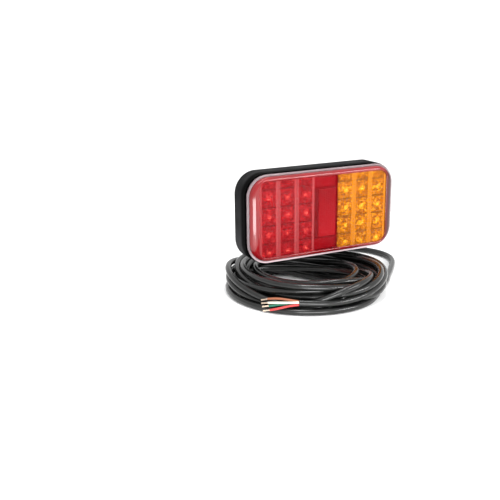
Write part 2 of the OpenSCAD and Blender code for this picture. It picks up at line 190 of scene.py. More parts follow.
class Shader:
    """One material: a Principled surface, and the nodes that feed it."""

    def __init__(self, name, **constants):
        self.material = bpy.data.materials.new(name)
        self.material.use_nodes = True
        self.tree = self.material.node_tree
        self.tree.nodes.clear()
        output = self.tree.nodes.new("ShaderNodeOutputMaterial")
        self.surface = self.tree.nodes.new("ShaderNodeBsdfPrincipled")
        self.tree.links.new(self.surface.outputs[0], output.inputs["Surface"])
        for socket, value in constants.items():
            self.put(self.surface.inputs[socket.replace("_", " ")], value)

    def put(self, socket, value):
        """Links a Socket, or sets a constant, on an input."""
        if isinstance(value, Socket):
            self.tree.links.new(value.socket, socket)
        elif hasattr(socket.default_value, "__len__") and len(value) == 3:
            socket.default_value = (*value, 1.0) if len(socket.default_value) == 4 else value
        else:
            socket.default_value = value

    def node(self, kind, settings, values, output=0):
        """Adds a node: its settings first, then values or links by socket number or name."""
        node = self.tree.nodes.new(kind)
        for key, value in settings.items():
            setattr(node, key, value)
        for key, value in values.items() if isinstance(values, dict) else enumerate(values):
            self.put(node.inputs[key], value)
        return Socket(self, node.outputs[output])

    def where(self):
        """The place on the piece, in metres."""
        return self.node("ShaderNodeTexCoord", {}, {}, "Object")

    def along(self, axis):
        """The place on the piece along X, Y or Z, in metres."""
        return self.node("ShaderNodeSeparateXYZ", {}, [self.where()], axis)

    def attribute(self, name):
        """A number stored on the piece's points."""
        return self.node("ShaderNodeAttribute", {"attribute_name": name}, {}, "Fac")

    def noise(self, size, detail=2.0, stretch=(1, 1, 1)):
        """Noise from 0 to 1 with features of a size in metres, stretched along the axes."""
        scale = tuple(1 / s for s in stretch)
        mapped = self.node("ShaderNodeMapping", {}, {"Vector": self.where(), "Scale": scale})
        return self.node("ShaderNodeTexNoise", {"noise_dimensions": "3D"},
                         {"Vector": mapped, "Scale": 1 / size, "Detail": detail})

    def ramp(self, value, low, high):
        """A value's stretch from low to high, brought to 0 to 1 and clamped."""
        return self.node("ShaderNodeMapRange", {"clamp": True}, [value, low, high, 0.0, 1.0])

    def mix(self, factor, first, second):
        """A colour between two."""
        node = self.tree.nodes.new("ShaderNodeMix")
        node.data_type = "RGBA"
        for key, value in (("Factor_Float", factor), ("A_Color", first), ("B_Color", second)):
            self.put(next(s for s in node.inputs if s.identifier == key), value)
        return Socket(self, next(s for s in node.outputs if s.identifier == "Result_Color"))

    def bump(self, height, distance, strength=1.0):
        """A normal from a height of 0 to 1 over a distance in metres."""
        return self.node("ShaderNodeBump", {}, {"Height": height, "Distance": distance, "Strength": strength})

    def feed(self, **links):
        """Puts sockets or values on the surface."""
        for socket, value in links.items():
            self.put(self.surface.inputs[socket.replace("_", " ")], value)
        return self.material


def scaled(colour, k):
    """A colour, lighter or darker."""
    return tuple(min(1.0, c * k) for c in colour)


def moulded(name, colour, roughness=0.5, grain=0.9 * MM, depth=0.06 * MM, gloss=0.3):
    """Moulded plastic with a fine spark-eroded grain and slight wear in its shade."""
    s = Shader(name, Roughness=roughness, Specular_IOR_Level=gloss)
    fine = s.noise(grain, 3.0)
    broad = s.noise(22 * MM, 2.0)
    return s.feed(Base_Color=s.mix(s.ramp(broad, 0.35, 0.65), scaled(colour, 0.86), scaled(colour, 1.2)),
                  Roughness=roughness - 0.08 + 0.16 * fine,
                  Normal=s.bump(fine, depth))


def rubber(name, colour, roughness=0.42):
    """Soft sheath or gland: even, slightly bloomed, with a faint drawn grain."""
    s = Shader(name, Roughness=roughness, Specular_IOR_Level=0.42)
    bloom = s.noise(7 * MM, 3.0)
    fine = s.noise(0.7 * MM, 2.0)
    return s.feed(Base_Color=s.mix(s.ramp(bloom, 0.35, 0.7), colour, scaled(colour, 2.4)),
                  Roughness=roughness - 0.06 + 0.14 * bloom,
                  Normal=s.bump(fine, 0.008 * MM))


def plated(name, colour, roughness=0.3):
    """Zinc-plated steel: bright, with dull patches and fine turning marks."""
    s = Shader(name, Metallic=1.0, Roughness=roughness)
    patches = s.noise(2.4 * MM, 4.0)
    marks = s.noise(0.4 * MM, 2.0, (6, 1, 6))
    return s.feed(Base_Color=s.mix(s.ramp(patches, 0.3, 0.7), scaled(colour, 0.72), colour),
                  Roughness=roughness - 0.08 + 0.22 * patches,
                  Normal=s.bump(marks, 0.02 * MM))


def clear(name, colour, alpha, roughness=0.06, gloss=0.05, coat=0.05):
    """Polished clear plastic over what lies behind it."""
    s = Shader(name, Roughness=roughness, Specular_IOR_Level=gloss, Coat_IOR=1.3, Coat_Weight=coat,
               Coat_Roughness=0.03)
    swirl = s.noise(16 * MM, 2.0)
    return s.feed(Base_Color=s.mix(s.ramp(swirl, 0.3, 0.7), scaled(colour, 0.9), scaled(colour, 1.08)),
                  Roughness=roughness - 0.02 + 0.05 * swirl,
                  Alpha=s.ramp(swirl, -1.0, 2.0) * 0.06 + (alpha - 0.03))


def optic(name, deep, bright, painted_glint, painted_sparkle, land):
    """Moulded optic field, with painted light: painted glints and sparkles round the LEDs, lands of plain red
    lightened by a painted reflection, painted highlights along the lands' edges and painted shade along the cell
    walls.
    """
    s = Shader(name, Roughness=0.22, Specular_IOR_Level=0.15)
    streak = s.noise(1.3 * MM, 3.0, (3.2, 1, 0.55))
    glint_fleck = s.noise(1.7 * MM, 2.0, (1.2, 1, 1))
    spark = s.noise(1.1 * MM, 0.0, (1, 3, 1))
    grit = s.noise(1.15 * MM, 1.0, (1.6, 2, 0.8))
    # Painted highlights: round each LED the streaks are lightened, and flecks and sparks of brighter colour are
    # laid on as painted glints.
    led_glint_spot = s.attribute("led")
    shade = s.mix(s.ramp(streak + 0.1 * led_glint_spot, 0.42, 0.58), deep, bright)
    shade = s.mix(s.ramp(grit, 0.52, 0.62) * 0.75, shade, scaled(deep, 0.45))
    shade = s.mix(s.ramp(glint_fleck * (0.7 + 0.3 * led_glint_spot), 0.40, 0.47), shade, painted_glint)
    shade = s.mix(s.ramp(spark * (0.15 + 0.85 * led_glint_spot), 0.44, 0.52), shade, painted_sparkle)
    # Painted shade along the V grooves of the cell walls.
    shade = s.mix(s.attribute("wall") * 0.85, shade, scaled(deep, 0.35))
    # The lands: plain strips of the lens colour, lightened by a painted reflection.
    shade = s.mix(s.attribute("land"), shade, land)
    # Painted highlights along the lands' edges.
    shade = s.mix(s.attribute("edge") * 0.8, shade, scaled(land, 1.7))
    return s.feed(Base_Color=shade, Normal=s.bump(streak, 0.12 * MM))


def chip(name, colour, roughness=0.5):
    """Small component bodies."""
    return moulded(name, colour, roughness, 0.4 * MM, 0.02 * MM)


# === surfaces ===============================================================================


def grid_faces(rows, columns, closed_rows=False, closed_columns=False):
    """Quads of a grid of points, as an array; closed directions join their last line to their first."""
    i = np.arange(rows if closed_rows else rows - 1)
    j = np.arange(columns if closed_columns else columns - 1)
    a, b = np.meshgrid(i, j, indexing="ij")
    a2, b2 = (a + 1) % rows, (b + 1) % columns
    return np.stack([a * columns + b, a * columns + b2, a2 * columns + b2, a2 * columns + b], -1).reshape(-1, 4)


def sheet_faces(columns, rows):
    """Faces of a sheet whose front points come first and its back points after them: the front, the
    back, and a wall along the edge between them."""
    count = columns * rows
    faces = grid_faces(columns, rows)
    a = np.arange(count).reshape(columns, rows)
    edge = np.concatenate([a[:, 0], a[-1, 1:], a[-2::-1, -1], a[0, -2:0:-1]])
    after = np.roll(edge, -1)
    walls = np.stack([edge, after, after + count, edge + count], 1)
    return np.vstack([faces[:, ::-1], faces + count, walls])


def ring_faces(rings):
    """Faces over rings that join their last point and their last ring to the first."""
    return grid_faces(len(rings), rings.shape[1], True, True)[:, ::-1]


def piece(name, points, faces, material, smooth=True, body=LAMP, replaces=(), attributes=None):
    """Makes one mesh object from arrays, gives it its finish and puts it on its body."""
    mesh = bpy.data.meshes.new(name)
    mesh.from_pydata(points.tolist(), [], faces if isinstance(faces, list) else faces.tolist())
    mesh.polygons.foreach_set("use_smooth", np.full(len(mesh.polygons), smooth))
    for key, values in (attributes or {}).items():
        mesh.attributes.new(key, "FLOAT", "POINT").data.foreach_set("value", values.astype(np.float32))
    mesh.update()
    mesh.validate()
    thing = bpy.data.objects.new(name, mesh)
    bpy.context.scene.collection.objects.link(thing)
    mesh.materials.append(material)
    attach(thing, body)
    if replaces:
        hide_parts(*replaces)
    return thing


def joined(parts):
    """Several (points, faces) as one."""
    points, faces, start = [], [], 0
    for p, f in parts:
        points.append(p)
        faces += [[start + k for k in face] for face in (f.tolist() if hasattr(f, "tolist") else f)]
        start += len(p)
    return np.vstack(points), faces


def outline(half_w, half_h, radius, arc=14, side=18):
    """A rounded rectangle as points (x, z) in turn: four quarter arcs, and points along each side
    between them, so that outlines of any size match point for point."""
    out = []
    corners = ((1, 1, 0), (-1, 1, 90), (-1, -1, 180), (1, -1, 270))
    for k, (sx, sz, start) in enumerate(corners):
        a = np.radians(start + np.linspace(0, 90, arc))
        centre = np.array([sx * (half_w - radius), sz * (half_h - radius)])
        here = centre + radius * np.stack([np.cos(a), np.sin(a)], 1)
        nx, nz, nstart = corners[(k + 1) % 4]
        b = math.radians(nstart)
        after = np.array([nx * (half_w - radius) + radius * math.cos(b),
                          nz * (half_h - radius) + radius * math.sin(b)])
        t = np.linspace(0, 1, side + 2)[1:-1, None]
        out += [here, here[-1] * (1 - t) + after * t]
    return np.vstack(out)


def carried(profile):
    """Rings of a profile round the lamp. Each row gives how far the outline is set in across and up,
    its depth in front of the face, and its corner radius."""
    rings = []
    for inset_x, inset_z, depth, radius in profile:
        ring = outline(HOUSING_HIGH[0] - inset_x, HOUSING_HIGH[2] - inset_z, radius)
        rings.append(np.stack([ring[:, 0], np.full(len(ring), -depth), ring[:, 1]], 1))
    return np.array(rings)


def smooth_line(points, step):
    """A Catmull-Rom curve through the points, cut into equal steps of about the length given."""
    p = np.asarray(points, float)
    q = np.vstack([2 * p[0] - p[1], p, 2 * p[-1] - p[-2]])
    t = np.linspace(0, 1, 16, endpoint=False)[:, None]
    a, b, c, d = (part[:, None] for part in (q[:-3], q[1:-2], q[2:-1], q[3:]))
    line = 0.5 * (2 * b + (c - a) * t + (2 * a - 5 * b + 4 * c - d) * t**2 + (3 * b - a - 3 * c + d) * t**3)
    line = np.vstack([line.reshape(-1, 3), p[-1:]])
    along = np.r_[0, np.cumsum(np.linalg.norm(np.diff(line, axis=0), axis=1))]
    even = np.linspace(0, along[-1], max(2, int(round(along[-1] / step)) + 1))
    return np.stack([np.interp(even, along, line[:, k]) for k in range(3)], 1)


def tube(line, radius, sides=12):
    """A round tube with closed ends along a line: each ring lies across the line's direction."""
    heading = np.gradient(line, axis=0)
    heading /= np.linalg.norm(heading, axis=1)[:, None]
    side = np.cross(heading, (0, 0, 1.0))
    side /= np.linalg.norm(side, axis=1)[:, None]
    over = np.cross(side, heading)
    a = np.linspace(0, 2 * np.pi, sides, endpoint=False)
    ring = side[:, None] * np.cos(a)[:, None] + over[:, None] * np.sin(a)[:, None]
    points = (line[:, None] + radius * ring).reshape(-1, 3)
    faces = grid_faces(len(line), sides, closed_columns=True).tolist()
    last = (len(line) - 1) * sides
    return points, [f[::-1] for f in faces] + [list(range(sides)), [last + k for k in range(sides)][::-1]]


# === lead ===================================================================================

# Routes are in millimetres: the lead from the gland to the coil, its free end, and the four cores.
LEAD_ROUTE = [
    (0, 24, -20), (0, 33, -20), (2, 43, -23), (6, 51, -31), (12, 57, -42.2), (21, 61, -52.2), (32, 63, -59.2),
    (45, 62, -61.2), (58, 58, -61.2), (70, 51, -61.2), (81, 41, -61.2), (90, 29, -61.2), (95, 15, -61.2),
    (95, 2, -61.2), (89, -12, -61.2), (78, -25.5, -61.2), (66, -38.5, -61.2), (54.5, -50.5, -61.2),
    (45, -62, -61.2), (37, -72, -61.2), (28, -81, -61.2), (18, -88, -61.2),
]
TAIL_ROUTE = [
    (-7.5, -102, -57), (-19.3, -103.8, -56.2), (-31, -103.6, -55.6), (-42.7, -101.4, -55),
    (-53.8, -97.1, -54.4), (-63, -91.7, -54),
]
CORE_ROUTES = {
    "brown": [(-62.6, -90.9, -53), (-69, -86.3, -52), (-75.5, -80.2, -51.6), (-81, -74.5, -52.6),
              (-86, -69.5, -54.4)],
    "white": [(-63.6, -92.6, -53), (-70, -88.6, -53.4), (-76.5, -83.3, -54), (-82, -77.5, -54.9),
              (-87, -72, -56.2)],
    "green": [(-62.6, -90.9, -55), (-69, -86.3, -55.5), (-75.5, -81.3, -56.5), (-81.5, -77.3, -57.6),
              (-87.2, -73.6, -58.6)],
    "red": [(-63.6, -92.6, -55), (-70, -89, -56), (-76.5, -85.8, -57.6), (-82.5, -81.8, -59.4),
            (-88.5, -77.5, -60.8)],
}
COIL_CENTRE = np.array([-24, -36]) * MM
COIL_REACH = 69  # radius that the turns stay inside, in millimetres
LONG_AXIS = math.radians(-55)  # direction of the ovals' long axis
PER_TURN = 26  # control points in one turn
PER_STEP = 5  # samples between two control points


def eased(k, start, end):
    """0 before start, 1 after end, and a smooth rise between them."""
    t = np.clip((k - start) / (end - start), 0, 1)
    return t * t * (3 - 2 * t)


def wander(k, *keys):
    """A value that moves smoothly from key to key, each key a turn and a value."""
    value = np.full_like(k, keys[0][1], dtype=float)
    for (k0, v0), (k1, v1) in zip(keys[:-1], keys[1:]):
        value += (v1 - v0) * eased(k, k0, k1)
    return value


def wound(turns, lead_end, tail_start):
    """The turns as they are laid: round ones at the bottom, then ovals that are drawn towards the
    front and so cross the coil's middle, then round ones again on top. Each turn starts above the
    last one, and the first and last half turns join the lead and the tail."""
    first, last = (np.arctan2(p[1] - COIL_CENTRE[1], p[0] - COIL_CENTRE[0]) for p in (lead_end, tail_start))
    sweep = 2 * np.pi * turns + first - last
    count = int(round(sweep / (2 * np.pi) * PER_TURN))
    u = np.linspace(0, 1, count + 1)
    angle = first - sweep * u
    k = u * sweep / (2 * np.pi)
    end = k[-1]
    f = end / 16
    long_half = wander(k, (0, 65), (4 * f, 62), (9 * f, 59), (13 * f, 60), (end, 66)) + 1.5 * np.sin(2.7 * k + 0.4)
    short_half = wander(k, (0, 64), (3 * f, 60), (6 * f, 44), (10 * f, 38), (12 * f, 44), (15 * f, 60), (end, 66))
    forward = wander(k, (0, 0), (3 * f, 2), (6 * f, 20), (10 * f, 30), (12 * f, 20), (15 * f, 2), (end, 0))
    aside = wander(k, (0, 0), (4 * f, 2), (7 * f, -3), (10 * f, 3), (13 * f, -2), (end, 0))
    along, across = (np.array([math.cos(a), math.sin(a)]) for a in (LONG_AXIS, LONG_AXIS + np.pi / 2))
    t = (angle - LONG_AXIS)[:, None]
    oval = ((aside[:, None] + long_half[:, None] * np.cos(t)) * along
            + (short_half[:, None] * np.sin(t) - forward[:, None]) * across) * MM
    rise = FLOOR_Z + SHEATH / 2 + 0.9 * SHEATH * k
    around = np.stack([np.cos(angle), np.sin(angle)], 1)
    line = np.c_[COIL_CENTRE + oval, rise]
    on_lead = np.c_[COIL_CENTRE + np.linalg.norm(lead_end[:2] - COIL_CENTRE) * around,
                    np.full(len(k), lead_end[2])]
    on_tail = np.c_[COIL_CENTRE + np.linalg.norm(tail_start[:2] - COIL_CENTRE) * around, rise]
    joins = eased(k, 0, 0.5)[:, None]
    line = on_lead * (1 - joins) + line * joins
    leaves = eased(end - k, 0, 0.5)[:, None]
    return on_tail * (1 - leaves) + line * leaves


def spline_weights():
    """Weights of a cubic B-spline's four control points at the samples of one step."""
    t = np.arange(PER_STEP) / PER_STEP
    return np.stack([(1 - t) ** 3, 3 * t**3 - 6 * t**2 + 4, -3 * t**3 + 3 * t**2 + 3 * t + 1, t**3], 1) / 6


WEIGHTS = spline_weights()


def sampled(control):
    """Points on the B-spline."""
    spans = [control[q:len(control) - 3 + q, None] * WEIGHTS[None, :, q, None] for q in range(4)]
    return sum(spans).reshape(-1, 3)


def gathered(moves, count):
    """Moves of the samples, shared out to the control points by the same weights."""
    moves = moves.reshape(count - 3, PER_STEP, -1)
    out = np.zeros((count, moves.shape[2]))
    for q in range(4):
        out[q:count - 3 + q] += (moves * WEIGHTS[None, :, q, None]).sum(1)
    return out


def close_pairs(points, reach, skip):
    """Index pairs of points nearer than reach that are more than skip apart along the lead."""
    square = (points**2).sum(1)
    first, second = [], []
    for a in range(0, len(points), 400):
        b = min(a + 400, len(points))
        gap = square[a:b, None] + square[None, a:] - 2 * points[a:b] @ points[a:].T
        i, j = np.nonzero(gap < reach * reach)
        keep = j - i > skip
        first.append(i[keep] + a)
        second.append(j[keep] + a)
    return np.concatenate(first), np.concatenate(second)


def settled(control, fixed, thick, steps, stiffness):
    """Lets the turns fall, in millimetres. Each step moves the control points by gravity. Then three
    times it pushes crossing stretches a diameter apart, lifts them off the floor, presses them under
    the lamp's level as it is lowered and under the bared cores, holds them in a round stack, bends
    each turn back towards its wound curve and restores its length."""
    fall, drag, fastest = 0.05, 0.92, 2.0
    floor, under_lamp = FLOOR_Z / MM + thick / 2, HOUSING_LOW[2] / MM - thick / 2
    cores = np.array(CORE_ROUTES["white"])
    control = control.copy()
    count = len(control)
    free = (~fixed)[:, None].astype(float)
    wound_bend = control[:-2] - 2 * control[1:-1] + control[2:]
    wound_bend[:, 2] = 0
    length = np.linalg.norm(np.diff(control, axis=0), axis=1)
    length = np.minimum(length, 1.1 * np.median(length))
    skip = int(np.ceil(2.2 * thick / (length.mean() / PER_STEP)))
    speed = np.zeros_like(control)
    for step in range(steps):
        if step % 6 == 0:
            first, second = close_pairs(sampled(control), 1.7 * thick, skip)
        before = control.copy()
        speed *= drag
        speed[:, 2] -= fall
        control = control + speed * free
        ceiling = under_lamp + 60 * (1 - min(1, step / (0.6 * steps)))
        for _ in range(3):
            points = sampled(control)
            apart = points[first] - points[second]
            distance = np.sqrt((apart**2).sum(1)) + 1e-9
            overlap = thick - distance
            hit = overlap > 0
            i, j = first[hit], second[hit]
            push = apart[hit] / distance[hit, None] * (0.5 * overlap[hit])[:, None]
            total = np.stack([np.bincount(i, push[:, a], len(points)) - np.bincount(j, push[:, a], len(points))
                              for a in range(3)], 1)
            touches = np.bincount(i, minlength=len(points)) + np.bincount(j, minlength=len(points))
            move = 1.5 * total / np.maximum(touches, 1)[:, None]
            sunk = np.maximum(floor - points[:, 2], 0)
            by_cores = np.abs(points[:, None, :2] - cores[None, :, :2]).max(-1).min(1) < 5
            roof = np.where(by_cores, min(ceiling, floor + 1), ceiling)
            move[:, 2] += sunk - np.maximum(points[:, 2] - roof, 0)
            out = points[:, :2] - COIL_CENTRE / MM
            far = np.sqrt((out**2).sum(1))
            past = np.maximum(far - COIL_REACH, 0)
            move[:, :2] -= out * (past / far)[:, None]
            touched = ((touches > 0) | (sunk > 0) | (past > 0)).astype(float)[:, None]
            control = control + 1.6 * gathered(move, count) / np.maximum(gathered(touched, count), 1.0) * free
            bend = control[:-2] - 2 * control[1:-1] + control[2:] - wound_bend
            back = np.zeros_like(control)
            back[1:-1] += 0.5 * bend
            back[:-2] -= 0.25 * bend
            back[2:] -= 0.25 * bend
            control = control + 0.5 * stiffness * back * free
            for odd in (0, 1):
                a = np.arange(odd, count - 1, 2)
                link = control[a + 1] - control[a]
                size = np.sqrt((link**2).sum(1))
                share = np.maximum(free[a, 0] + free[a + 1, 0], 1e-9)
                fix = link * ((size - length[a]) / size / share)[:, None]
                control[a] += fix * free[a]
                control[a + 1] -= fix * free[a + 1]
        speed = (control - before) * free
        pace = np.sqrt((speed**2).sum(1))
        speed *= np.minimum(1, fastest / np.maximum(pace, 1e-9))[:, None]
    return control


def lead_line(settings):
    """The whole lead's centre line: out of the gland, down, round and through the settled coil."""
    thick = settings.diameter / MM
    lead_end, tail_start = (np.array(p) * MM for p in (LEAD_ROUTE[-1], TAIL_ROUTE[0]))
    coil = wound(settings.turns, lead_end, tail_start) / MM
    step = np.linalg.norm(np.diff(coil, axis=0), axis=1).mean()
    lead, tail = smooth_line(LEAD_ROUTE, step), smooth_line(TAIL_ROUTE, step)
    control = np.vstack([2 * lead[:1] - lead[1:2], lead, coil[1:-1], tail, 2 * tail[-1:] - tail[-2:-1]])
    fixed = np.zeros(len(control), bool)
    fixed[:len(lead) - 2] = True
    fixed[len(control) - len(tail) + 1:] = True
    control = settled(control, fixed, thick, settings.steps, settings.stiffness)
    return np.vstack([sampled(control), tail[-1:]]) * MM


def strands(start, end, radius):
    """Seven tinned strands from a core's end to its tip: one straight, and six in a slow twist."""
    axis = (end - start) / np.linalg.norm(end - start)
    side = np.cross(axis, (0, 0, 1.0))
    side /= np.linalg.norm(side)
    over = np.cross(side, axis)
    t = np.linspace(0, 1, 12)[:, None]
    core = start + (end - start) * t
    fine = radius / 3
    parts = [tube(core, fine, 6)]
    for k in range(6):
        a = np.pi * k / 3 + 2.2 * t
        spread = 2 * fine * (1 + 0.25 * t**2 * (k % 3))
        parts.append(tube(core + spread * (np.cos(a) * side + np.sin(a) * over), fine, 6))
    return joined(parts)


# === operators ==============================================================================


def settings():
    """The four groups of settings on the scene."""
    s = bpy.context.scene
    return s.tail_lens, s.tail_lead, s.tail_finish, s.tail_stage


class TAIL_OT_stage(bpy.types.Operator):
    """Floor, soft studio light and the camera"""

    bl_idname = "tail_light.stage"
    bl_label = "Stage"

    def execute(self, context):
        stage = settings()[3]
        scene = context.scene
        scene.view_settings.view_transform = "Standard"
        floor_shade = Shader("floor_white", Roughness=0.9, Base_Color=(0.93, 0.93, 0.93))
        mesh = bpy.data.meshes.new("floor")
        reach, sides, gap = 6, 96, 0.0002
        a = np.linspace(0, 2 * np.pi, sides, endpoint=False)
        disc = np.c_[reach * np.cos(a), reach * np.sin(a), np.full(sides, FLOOR_Z - gap)]
        mesh.from_pydata(disc.tolist(), [], [list(range(sides))])
        floor = bpy.data.objects.new("floor", mesh)
        scene.collection.objects.link(floor)
        mesh.materials.append(floor_shade.material)

        world = bpy.data.worlds.new("studio")
        world.use_nodes = True
        world.node_tree.nodes["Background"].inputs["Color"].default_value = (1, 1, 1, 1)
        world.node_tree.nodes["Background"].inputs["Strength"].default_value = 1.15
        scene.world = world
        self.card("ridge_strip", (0.34, -0.69, 0.29), (0, 0, 0), 0.5, 0.06, 5.0)
        self.card("low_card", (-0.11, -0.222, -0.043), (-0.07, 0.0, 0.0), 0.13, 0.04, 0.24)
        self.card("overhead_strip", (-0.1, -0.1, 0.9), (-0.02, -0.04, 0), 0.03, 1.0, 6.0)

        eye = bpy.data.cameras.new("camera")
        eye.lens = stage.focal
        eye.sensor_width = 36
        eye.clip_start = 0.01
        camera = bpy.data.objects.new("camera", eye)
        scene.collection.objects.link(camera)
        sa, ca = math.sin(stage.azimuth), math.cos(stage.azimuth)
        sp, cp = math.sin(stage.pitch), math.cos(stage.pitch)
        ahead = Vector((sa * cp, ca * cp, -sp))
        right = ahead.cross(Vector((0, 0, 1))).normalized()
        up = right.cross(ahead)
        turned = right * math.cos(stage.roll) + up * math.sin(stage.roll)
        upright = up * math.cos(stage.roll) - right * math.sin(stage.roll)
        axes = Matrix((turned, upright, -ahead)).transposed().to_4x4()
        camera.matrix_world = Matrix.Translation(stage.place) @ axes
        scene.camera = camera
        return {"FINISHED"}

    @staticmethod
    def card(name, place, target, width, height, power):
        """A soft rectangular light at a place, turned to its target and unseen itself."""
        light = bpy.data.lights.new(name, "AREA")
        light.shape = "RECTANGLE"
        light.size, light.size_y, light.energy = width, height, power
        thing = bpy.data.objects.new(name, light)
        thing.visible_camera = False
        heading = Vector(target) - Vector(place)
        thing.matrix_world = Matrix.Translation(place) @ heading.to_track_quat("-Z", "Y").to_matrix().to_4x4()
        bpy.context.scene.collection.objects.link(thing)


class TAIL_OT_lead(bpy.types.Operator):
    """Coiled lead with its four bared cores"""

    bl_idname = "tail_light.lead"
    bl_label = "Lead"

    def execute(self, context):
        _, lead, finish, _ = settings()
        line = lead_line(lead)
        curve = bpy.data.curves.new("coiled_lead", "CURVE")
        curve.dimensions = "3D"
        curve.bevel_depth = lead.diameter / 2
        curve.bevel_resolution = 3
        curve.use_fill_caps = True
        spline = curve.splines.new("POLY")
        spline.points.add(len(line) - 1)
        spline.points.foreach_set("co", np.c_[line, np.ones(len(line))].astype(np.float32).ravel())
        spline.use_smooth = True
        cord = bpy.data.objects.new("coiled_lead", curve)
        context.scene.collection.objects.link(cord)
        curve.materials.append(rubber("lead_sheath", tuple(finish.sheath), 0.22))
        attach(cord, LAMP)
        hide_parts("cable_lead", "cable_coil", "cable_tail")

        colours = {"brown": (0.26, 0.09, 0.045), "white": (0.62, 0.56, 0.46), "green": (0.02, 0.14, 0.09),
                   "red": (0.38, 0.035, 0.035)}
        on_cord, bare = [], []
        for name, route in CORE_ROUTES.items():
            path = smooth_line(np.array(route) * MM, 0.8 * MM)
            cut = max(2, len(path) - int(lead.tip_length / (0.8 * MM)))
            points, faces = tube(path[:cut], lead.core_diameter / 2, 14)
            s = moulded(f"core_{name}", colours[name], 0.4, 0.6 * MM, 0.02 * MM)
            on_cord.append(piece(f"{name}_core", points, faces, s,
                                 replaces=(f"core_{name}",)))
            bare.append(strands(path[cut - 1], path[-1], 0.62 * lead.core_diameter / 2))
        points, faces = joined(bare)
        copper = plated("tinned_strands", (0.86, 0.70, 0.56), 0.28)
        on_cord.append(piece("copper_tips", points, faces, copper,
                             replaces=("bare_core_ends",)))
        return {"FINISHED"}


def half_height(x, lens):
    """Half the height of the raised front at a place across it, less near its rounded corners."""
    half_w, half_h = HOUSING_HIGH[0] - lens.inset_side, HOUSING_HIGH[2] - lens.inset_top
    into = np.clip(np.abs(x) - (half_w - lens.corner), 0, lens.corner)
    return half_h - lens.corner + np.sqrt(np.maximum(lens.corner**2 - into**2, 0))


def slab(x0, x1, lens, columns, rows, front, back, trim=0.0):
    """A closed sheet of the raised front between two places across it. Its points are
    (x, z) = (x0..x1, -1..1 times the half height there), front and back give the depth at each."""
    x = np.linspace(x0, x1, columns)[:, None]
    z = np.linspace(-1, 1, rows)[None] * (half_height(x, lens) - trim)
    x = np.broadcast_to(x, z.shape)
    points = np.vstack([np.stack([x, -front(x, z), z], -1).reshape(-1, 3),
                        np.stack([x, -back(x, z), z], -1).reshape(-1, 3)])
    return points, sheet_faces(columns, rows), x, z


def level(depth):
    """A flat side of a sheet, at one depth in front of the face."""
    return lambda x, z: depth + 0 * x * z


def bell(distance, width):
    """1 at no distance, and a smooth fall over the width."""
    return np.exp(-(distance / width) ** 2)


def optic_sheet(name, leds, x0, x1, lands, lens, material):
    """A field of optics behind the lens's front: fine level ribs and upright pillows, a dome of rings
    at each LED, V grooves between the cells, and plain upright lands between the columns."""
    columns, rows = leds
    pitch = rows[1] - rows[0]
    walls = rows + pitch / 2
    crest = LENS_LOW[1] + 0.9 * MM

    def masks(x, z):
        wall = sum(bell(z - w, 0.8 * MM) for w in walls)
        land = sum(np.clip((width / 2 - np.abs(x - c)) / (0.3 * MM) + 0.5, 0, 1) for c, width in lands)
        near = sum(bell(np.hypot(x - c, (z - r) * 1.15), 3.0 * MM) for c in columns for r in rows)
        plain = np.clip((z - walls[-1]) / (0.6 * MM), 0, 1)
        edge = sum(bell(np.abs(x - c) - width / 2, 0.35 * MM) for c, width in lands) + 0 * z
        return np.clip(wall, 0, 1) * (1 - land), np.clip(land, 0, 1), near, plain, np.clip(edge, 0, 1)

    def front(x, z):
        wall, land, near, plain, _ = masks(x, z)
        rib = np.abs(np.sin(np.pi * z / lens.rib_pitch))
        pillow = np.abs(np.sin(np.pi * (x - x0) / lens.pillow_pitch))
        ring = 0.5 + 0.5 * np.cos(near * 9)
        field = 0.45 * rib * (1 - 0.6 * plain) + 0.35 * pillow + 0.5 * near + 0.25 * ring * near
        return -crest - (0.9 * (1 - land) - field * 0.6 * (1 - land)) * MM * (1 + 0.4 * wall)

    points, faces, x, z = slab(x0, x1, lens, int((x1 - x0) / (0.42 * MM)), 170, front,
                               level(-LENS_LOW[1] - 2.4 * MM), 0.9 * MM)
    # These masks are stored on the sheet for its painted light: painted shade along the walls, a painted
    # reflection on the lands, painted glints round each LED and painted highlights along the lands' edges.
    wall, land, near, _, edge = (np.concatenate([m.ravel(), 0 * m.ravel()]) for m in masks(x, z))
    piece(name, points, faces, material, attributes={"wall": wall, "land": land, "led": near, "edge": edge})


